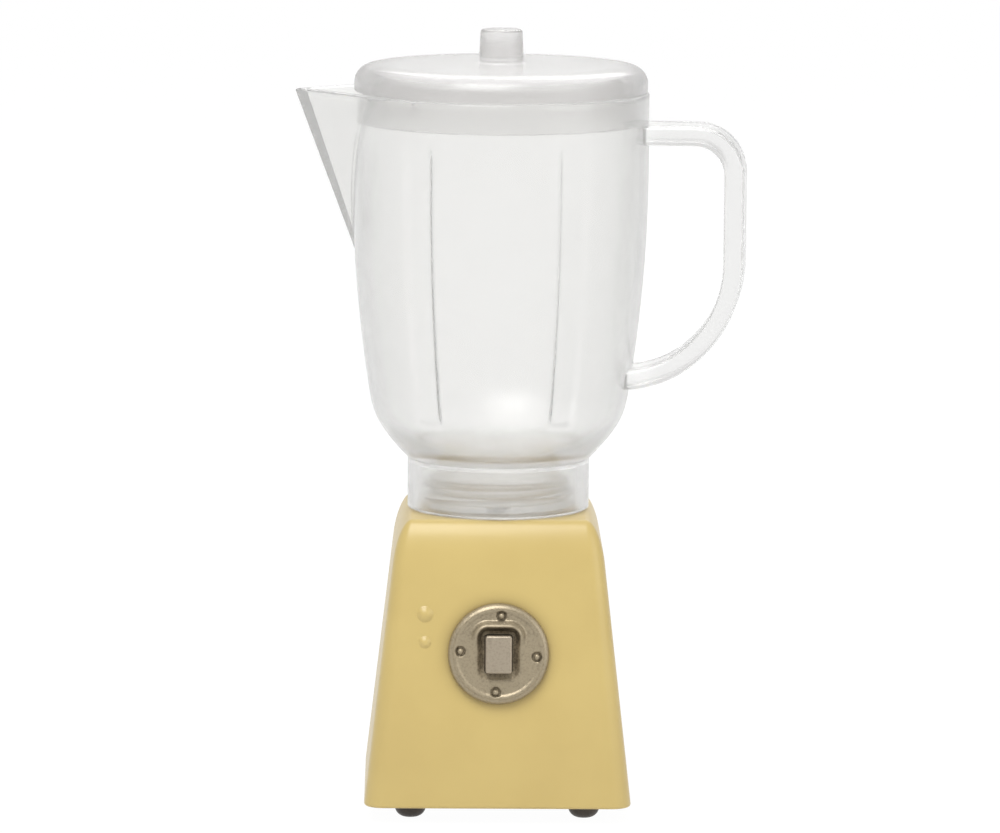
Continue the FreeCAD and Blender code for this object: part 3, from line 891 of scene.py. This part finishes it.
    def handle(self) -> bpy.types.Object:
        """The strap, extruded and swung from its upper root round to its lower one.

        Returns:
            The strap, in object mode.
        """
        half_thick, half_wide = self.strap[0] / 2.0, self.strap[1] / 2.0
        bpy.ops.object.select_all(action="DESELECT")
        bpy.ops.mesh.primitive_plane_add(size=2.0)
        piece = bpy.context.object
        piece.name = "jug_strap"
        bpy.ops.object.mode_set(mode="EDIT")
        bpy.ops.mesh.select_mode(type="VERT")
        bpy.ops.mesh.select_all(action="SELECT")
        bpy.ops.transform.resize(value=(half_thick, half_wide, 1.0))
        bpy.ops.mesh.bevel(offset=self.strap_round, segments=5, affect="VERTICES")
        bpy.ops.transform.translate(value=(-self.strap_root[1], 0.0, self.strap_root[0]))
        grip, low = self.strap_grip
        corner = grip - self.strap_crook
        Bench.extrude(0.0, corner - self.strap_root[0])
        crook_centre = (-(self.strap_root[1] - self.strap_crook), 0.0, corner)
        Bench.swing(math.radians(90.0), crook_centre, self.strap_chords[0])
        Bench.extrude(self.strap_root[1] - self.strap_crook - low, 0.0)
        run, fall = grip - self.strap_sweep_end[0], low - self.strap_sweep_end[1]
        sweep = (run**2 + fall**2) / (2.0 * run)
        swept = math.asin(fall / sweep)
        Bench.swing(swept, (-low, 0.0, grip - sweep), self.strap_chords[1])
        centre_x = self.strap_sweep_end[0] - self.strap_hook * math.cos(swept)
        centre_z = self.strap_sweep_end[1] + self.strap_hook * math.sin(swept)
        left = math.asin((self.strap_end - centre_x) / self.strap_hook)
        Bench.swing(math.pi / 2.0 - swept - left, (-centre_z, 0.0, centre_x), self.strap_chords[2])
        bpy.ops.mesh.select_all(action="SELECT")
        bpy.ops.mesh.normals_make_consistent(inside=False)
        bpy.ops.object.mode_set(mode="OBJECT")
        piece.data.transform(Matrix.Rotation(math.radians(90.0), 4, "Y"))
        return piece

    def build(self) -> None:
        """Turn the wall, draw out the lip and ribs, and join the strap."""
        shell = Bench.lathe("jug_moulding", self.outline(), self.sectors)
        Bench.reshape(shell, self.shape_vertex)
        Bench.combine(shell, self.handle(), Solids.JOIN)
        settle(shell, self.stance, Body.JUG, JUG_PLASTIC.material(), ["jug"], 40.0)


@dataclass
class Lid:
    """The lid: domed crown with a rounded edge, plug skirt and small knob."""

    stance: Stance = Stance(height=73.9, turn=-5.9)
    radius: float = 15.05
    side: float = 0.85
    edge_round: float = 1.85
    dome: float = 0.25
    thick: float = 1.1
    skirt: float = 14.2
    skirt_depth: float = 3.2
    skirt_wall: float = 0.9
    knob_foot: float = 2.3
    knob_top: float = 2.15
    knob_height: float = 3.4
    knob_round: float = 0.3
    sectors: int = 192

    def outline(self) -> list[Point]:
        """Half outline from the underside's middle round to the knob's top.

        Returns:
            Distances from the axis and heights, from axis to axis.
        """
        crown, flat = self.side + self.edge_round, self.radius - self.edge_round
        inside = self.skirt - self.skirt_wall
        roof = crown - self.thick
        under = [(r, roof + self.dome * (1.0 - (r / inside) ** 2)) for r in (0.0, 4.0, 8.0, 11.0)]
        under += [(inside - 0.5, roof + 0.02), (inside - 0.1, roof - 0.2)]
        skirt = [(inside, z) for z in (0.8, 0.0, -1.5, 0.1 - self.skirt_depth)]
        skirt += [(inside + 0.1, -self.skirt_depth), (self.skirt - 0.1, -self.skirt_depth)]
        skirt += [(self.skirt, 0.1 - self.skirt_depth), (self.skirt, -1.5), (self.skirt, -0.05)]
        flange = [(self.skirt + 0.1, 0.0), (self.radius - 0.12, 0.0)]
        flange += [(self.radius, 0.12), (self.radius, self.side)]
        edge = arc((flat, self.side), self.edge_round, 0.0, 90.0, 14)[1:]
        dome = [(r, crown + self.dome * (1.0 - (r / flat) ** 2)) for r in (12.0, 10.0, 8.0, 6.0, 4.5, 3.2)]
        top = crown + self.dome
        fillet = [(self.knob_foot + out, top + up) for out, up in ((0.25, 0.0), (0.06, 0.08), (0.0, 0.3))]
        high = top + self.knob_height
        centre = (self.knob_top - self.knob_round, high - self.knob_round)
        knob = [(self.knob_top, centre[1])] + arc(centre, self.knob_round, 0.0, 90.0, 6)[1:]
        return under + skirt + flange + edge + dome + fillet + knob + [(1.0, high), (0.0, high)]

    def build(self) -> None:
        """Turn the lid as one piece."""
        lid = Bench.lathe("lid_moulding", self.outline(), self.sectors)
        settle(lid, self.stance, Body.LID, LID_PLASTIC.material(), ["lid"], 40.0)


@dataclass
class Spigot:
    """The clear threaded boss that the jug's collar goes over."""

    stance: Stance = Stance(height=30.85)
    root: float = 7.25
    height: float = 3.3
    bore: float = 6.2
    floor: float = 1.0
    hole: float = 0.8
    rise: float = 0.5
    pitch: float = 1.3
    run: Pair = (0.15, 3.0)
    edge: float = 0.12
    corner: float = 0.15
    sectors: int = 160

    def outline(self) -> list[Point]:
        """Half outline of the hollow boss.

        Returns:
            Distances from the axis and heights, from axis to axis.
        """
        edge, foot = self.edge, (self.hole, 0.0)
        rows = [(self.root, edge + (self.height - 2.0 * edge) * i / 48) for i in range(49)]
        crown = [(self.root - edge, self.height), (self.bore + edge, self.height)]
        crown += [(self.bore, self.height - edge), (self.bore, self.floor + self.corner)]
        inside = [(self.bore - self.corner, self.floor), (self.hole, self.floor)]
        return [foot, (self.root - edge, 0.0), *rows, *crown, *inside, foot]

    def thread(self, point: Vector) -> Vector:
        """Raise a helical ridge on the outer wall.

        Args:
            point: a vertex of the turned boss.

        Returns:
            Its new place.
        """
        radius = math.hypot(point.x, point.y)
        if radius < self.root - 0.01:
            return point
        phase = (point.z / self.pitch - math.atan2(point.y, point.x) / math.tau) % 1.0
        ridge = ramp(phase, 0.1, 0.4) * ramp(phase, 0.85, 0.55)
        low, high = self.run
        rise = self.rise * ridge * ramp(point.z, low, low + 0.35) * ramp(point.z, high, high - 0.35)
        point.x, point.y = point.x * (radius + rise) / radius, point.y * (radius + rise) / radius
        return point

    def build(self) -> None:
        """Turn the boss and raise its thread."""
        boss = Bench.lathe("spigot_thread", self.outline(), self.sectors)
        Bench.reshape(boss, self.thread)
        plastic = SPIGOT_PLASTIC.material()
        settle(boss, self.stance, Body.BASE, plastic, ["threaded_spigot"], 50.0)


@dataclass
class Housing:
    """The enamelled shell with its two soft bumps."""

    stance: Stance = Stance()
    foot: float = 1.7
    bottom: float = 13.66
    top: float = 10.32
    height: float = 29.15
    wall: float = 1.6
    edge_round: float = 2.0
    top_round: float = 1.95
    top_draw: float = 2.2
    lean: float = 6.54
    switch_height: float = 17.5
    cup_bore: float = 3.25
    bumps: tuple[tuple[float, float, float], ...] = ((-7.5, 21.45, 0.8), (-7.5, 18.6, 0.62))
    bump_spread: float = 1.1
    bump_rise: float = 0.45
    bump_fall: float = 1.2
    bump_sink: Pair = (0.02, 0.2)

    def face(self, z: float) -> float:
        """Distance of the front wall from the axis at a height."""
        return self.bottom - (z - self.foot) * (self.bottom - self.top) / self.height

    def shell(self) -> bpy.types.Object:
        """Round a block's edges, hollow it from below and taper it.

        Returns:
            The shell, in object mode.
        """
        middle, high = self.foot + self.height / 2.0, self.foot + self.height
        half = (self.bottom, self.bottom, self.height / 2.0)
        piece = Bench.block("housing_shell", half, (0.0, 0.0, middle))
        Bench.round_uprights(piece, self.edge_round, 10)
        Bench.pick(piece, Pick.FACES, lambda p: abs(p.z - self.foot) < 0.01)
        bpy.ops.mesh.inset(thickness=self.wall, depth=0.0)
        Bench.extrude(0.0, self.height - self.wall)
        Bench.pick(piece, Pick.EDGES, lambda p: abs(p.z - high) < 0.01)
        bpy.ops.mesh.bevel(offset=self.top_round, segments=14, affect="EDGES")
        rim = self.bottom - self.wall / 2.0
        Bench.pick(piece, Pick.EDGES, lambda p: abs(p.z - self.foot) < 0.01 and self.reach(p) > rim)
        bpy.ops.mesh.bevel(offset=0.3, segments=4, affect="EDGES")
        bpy.ops.mesh.select_all(action="SELECT")
        bpy.ops.mesh.normals_make_consistent(inside=False)
        bpy.ops.object.mode_set(mode="OBJECT")
        Bench.reshape(piece, self.taper)
        return piece

    def reach(self, point: Vector) -> float:
        """How far out a point is, measured to the side of a square with round corners."""
        flat = self.bottom - self.edge_round
        return flat + math.hypot(max(abs(point.x) - flat, 0.0), max(abs(point.y) - flat, 0.0))

    def taper(self, point: Vector) -> Vector:
        """Draw the top's rounding down the wall, then narrow the block towards its top.

        Args:
            point: a vertex of the block.

        Returns:
            Its new place.
        """
        high = self.foot + self.height
        below = high - point.z
        roof = abs(below - self.wall) < 0.001
        if below < self.top_round + 0.01 and not roof:
            point.z = high - below * self.top_draw
        share = self.face(point.z) / self.bottom
        point.x, point.y = point.x * share, point.y * share
        return point

    def seat(self, across: float, height: float) -> Matrix:
        """A place on the front wall, its Z axis pointing straight out of the wall."""
        place = Matrix.Translation((across, -self.face(height), height))
        return place @ Matrix.Rotation(math.radians(90.0 - self.lean), 4, "X")

    def bump(self, across: float, height: float, radius: float) -> bpy.types.Object:
        """A cast dome with paint drawn up round its foot.

        Args:
            across: place along the front wall.
            height: height above the ground.
            radius: size of the dome.

        Returns:
            The dome, in object mode.
        """
        reach, rise = self.bump_spread * radius, self.bump_rise * radius
        sunk, root = self.bump_sink
        radii = [reach * i / 14 for i in range(15)]
        profile = [(r, rise * (1.0 - (r / reach) ** 2) ** self.bump_fall - sunk) for r in radii]
        dome = Bench.lathe("bump", profile + [(reach, -root), (0.0, -root)], 48)
        dome.data.transform(self.seat(across, height))
        return dome

    def build(self) -> None:
        """Make the shell, bore it for the switch's cup and add the bumps."""
        shell = self.shell()
        bore = [(0.0, -4.0), (self.cup_bore, -4.0), (self.cup_bore, 2.0), (0.0, 2.0)]
        cutter = Bench.lathe("cutter", bore, 48)
        cutter.data.transform(self.seat(0.0, self.switch_height))
        Bench.combine(shell, cutter, Solids.CUT)
        Bench.merge(shell, [self.bump(*bump) for bump in self.bumps])
        settle(shell, self.stance, Body.BASE, ENAMEL.material(), ["base_housing"], 30.0)


@dataclass
class Switch:
    """The cast plate with its brow and the proud button."""

    stance: Stance = Stance(y=-11.85, height=17.5, lean=83.46)
    radius: float = 5.15
    thick: float = 0.9
    rim: float = 0.55
    sectors: int = 288
    brow_rise: float = 0.6
    brow_low: float = 0.12
    brow_fade: Pair = (0.6, 2.1)
    brow_band: Pair = (0.7, 1.6)
    well_depth: float = 0.24
    well_low: float = 0.4
    well_fade: Pair = (-2.6, -0.8)
    well_reach: float = 0.95
    bead_rise: float = 0.12
    bead_band: Pair = (0.5, 0.15)
    button: tuple[float, float, float] = (1.35, 1.925, 0.25)
    button_edge: float = 0.22
    button_top: float = 2.15
    button_gap: float = 0.1
    flange: Pair = (2.6, 0.6)
    rivet_circle: float = 3.9
    rivet_turn: float = 4.0
    dimple: Pair = (0.52, 0.16)

    def outline(self) -> list[Point]:
        """Half outline of the plain disc, its face in many close rings.

        Returns:
            Distances from the axis and heights, from axis to axis.
        """
        rim = arc((self.radius - self.rim, self.thick - self.rim), self.rim, 0.0, 90.0, 8)
        inner = self.radius - self.rim
        rings = [(inner * (1.0 - i / 80), self.thick) for i in range(1, 81)]
        return [(0.0, 0.0), (self.radius, 0.0), *rim, *rings]

    def cast(self, point: Vector) -> Vector:
        """Raise the rim's bead and the brow, sink the well and press in the rivets' dimples.

        Args:
            point: a vertex of the turned disc.

        Returns:
            Its new place.
        """
        if point.z < self.thick - 0.01:
            return point
        edge = rounded_box_distance(point.x, point.y, *self.button)
        low, high = self.brow_band
        brow = self.brow_low + (1.0 - self.brow_low) * ramp(point.y, *self.brow_fade)
        height = self.brow_rise * brow * ramp(edge, low - 0.3, low + 0.2) * ramp(edge, high, low + 0.2)
        fade = self.well_low + (1.0 - self.well_low) * ramp(point.y, *self.well_fade)
        height -= self.well_depth * ramp(edge, self.well_reach, 0.1) * fade
        out = math.hypot(point.x, point.y)
        bead = self.radius - self.rim
        height += self.bead_rise * ramp(out, bead - self.bead_band[0], bead - self.bead_band[1])
        for number in range(4):
            angle = math.radians(90.0 * number - self.rivet_turn)
            away = math.hypot(
                point.x - self.rivet_circle * math.cos(angle), point.y - self.rivet_circle * math.sin(angle)
            )
            height -= self.dimple[1] * ramp(away, self.dimple[0] + 0.08, self.dimple[0] - 0.1)
        point.z += height
        return point

    def plate(self) -> None:
        """Turn the disc, shape its face and cut the button's opening."""
        plate = Bench.lathe("switch_casting", self.outline(), self.sectors)
        Bench.reshape(plate, self.cast)
        half = (self.button[0] + self.button_gap, self.button[1] + self.button_gap, 2.0)
        cutter = Bench.block("cutter", half, (0.0, 0.0, 0.5))
        Bench.round_uprights(cutter, self.button[2] + self.button_gap, 5)
        bpy.ops.object.mode_set(mode="OBJECT")
        Bench.combine(plate, cutter, Solids.CUT)
        settle(plate, self.stance, Body.BASE, PEWTER.material(), ["switch_plate"], 45.0)

    def press(self) -> None:
        """The button: a rounded block on its retaining flange."""
        low = -self.button_gap - self.flange[1]
        half_height = (self.button_top - low) / 2.0
        half = (self.button[0], self.button[1], half_height)
        button = Bench.block("switch_press", half, (0.0, 0.0, low + half_height))
        Bench.round_uprights(button, self.button[2], 5)
        Bench.pick(button, Pick.EDGES, lambda p: p.z > self.button_top - 0.01)
        bpy.ops.mesh.bevel(offset=self.button_edge, segments=5, affect="EDGES")
        bpy.ops.object.mode_set(mode="OBJECT")
        wide, high = self.flange[0], -self.button_gap
        flange = Bench.lathe("flange", [(0.0, low), (wide, low), (wide, high), (0.0, high)], 48)
        Bench.combine(button, flange, Solids.JOIN)
        metal = BUTTON_METAL.material()
        settle(button, self.stance, Body.BUTTON, metal, ["switch_button"], 40.0)

    def build(self) -> None:
        """Make the plate and the button."""
        self.plate()
        self.press()


@dataclass
class Studio:
    """Floor, backdrop, lamps and the camera at the photograph's angle."""

    distance: float = 0.65024
    height: float = 0.1341
    azimuth: float = -0.805
    pitch: float = 8.218
    roll: float = 0.435
    lens: float = 229.19
    shift: float = 0.0013
    axis_x: float = -0.001915
    aim: tuple[float, float, float] = (0.0, 0.0, 0.04)
    shine: float = 0.7
    room_level: float = 0.52
    floor_colour: Colour = (0.9, 0.9, 0.9)
    floor_level: float = 1.03
    floor_share: float = 0.95

    def camera(self) -> None:
        """Place the camera by its distance, height and angles."""
        turn = math.radians(self.azimuth)
        place = Vector((math.sin(turn), -math.cos(turn), 0.0)) * self.distance
        place += Vector((self.axis_x, 0.0, self.height))
        data = bpy.data.cameras.new("camera")
        data.lens = self.lens
        data.shift_x = self.shift
        data.clip_end = 10.0
        view = bpy.data.objects.new("camera", data)
        bpy.context.scene.collection.objects.link(view)
        level = Matrix.Rotation(turn, 4, "Z") @ Matrix.Rotation(math.radians(90.0 - self.pitch), 4, "X")
        rolled = Matrix.Rotation(math.radians(self.roll), 4, "Z")
        view.matrix_world = Matrix.Translation(place) @ level @ rolled
        bpy.context.scene.camera = view

    def lamp(self, name: str, place: Sequence[float], size: float, power: float) -> None:
        """Hang one soft square lamp that looks at the object.

        Args:
            name: the lamp's name.
            place: where it hangs.
            size: its side in metres.
            power: its power in watts.
        """
        data = bpy.data.lights.new(name, "AREA")
        data.size = size
        data.energy = power
        data.specular_factor = self.shine
        lamp = bpy.data.objects.new(name, data)
        bpy.context.scene.collection.objects.link(lamp)
        lamp.visible_transmission = False
        lamp.location = place
        lamp.rotation_euler = (Vector(self.aim) - Vector(place)).to_track_quat("-Z", "Y").to_euler()

    def lamps(self) -> None:
        """A key from above the front, a low fill from the right and a soft light behind."""
        self.lamp("key", (-0.10, -0.30, 0.48), 0.34, 2.3)
        self.lamp("fill", (0.40, -0.28, 0.20), 0.35, 0.5)
        self.lamp("back", (0.05, 0.35, 0.45), 0.4, 1.2)

    def world(self) -> None:
        """A plain even room that is white to the camera, in mirrors and through plastic."""
        g = Graph(bpy.data.worlds.new("room"), "ShaderNodeOutputWorld")
        level = g.rays(*SEEN) * (1.0 - self.room_level) + self.room_level
        bpy.context.scene.world = g.finish(g.node("ShaderNodeBackground", {}, {"Strength": level}))

    def floor(self) -> None:
        """A wide pale floor that the camera sees almost white."""
        bpy.ops.object.select_all(action="DESELECT")
        bpy.ops.mesh.primitive_plane_add(size=6.0, location=(0.0, 0.0, -0.00005))
        floor = bpy.context.object
        floor.name = "floor"
        g = Graph.material("pale_floor")
        matt = g.principled(Base_Color=(*self.floor_colour, 1.0), Roughness=0.9)
        white = (1.0, 1.0, 1.0, 1.0)
        glow = g.node("ShaderNodeEmission", {}, {"Color": white, "Strength": self.floor_level})
        floor.data.materials.append(g.finish(g.blend(g.rays(*SEEN) * self.floor_share, matt, glow)))

    def build(self) -> None:
        """Set up the whole studio."""
        self.camera()
        self.lamps()
        self.world()
        self.floor()


def dress_carried_nodes() -> None:
    """Finish every node that keeps its own mesh."""
    finishes = {
        PEWTER: ("switch_rivet",),
        RUBBER: ("foot_",),
        PLATED: ("bottom_screw", "spigot_screw", "spigot_washer", "button_spring"),
        DARK_PLASTIC: ("bottom_plate", "spring_cup"),
    }
    for finish, starts in finishes.items():
        material = finish.material()
        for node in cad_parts:
            if node.startswith(starts):
                dress(node, material)


def shorten_spring() -> None:
    """Give the button's spring a mesh of its own."""
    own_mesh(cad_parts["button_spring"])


def main() -> None:
    """Build the scene and report each piece."""
    logging.basicConfig(level=logging.INFO, format="%(message)s")
    bpy.context.scene.view_settings.view_transform = "Standard"
    Studio().build()
    dress_carried_nodes()
    shorten_spring()
    for assembly in (Housing(), Switch(), Spigot(), Jug(), Lid()):
        assembly.build()


if __name__ == "__main__":
    main()
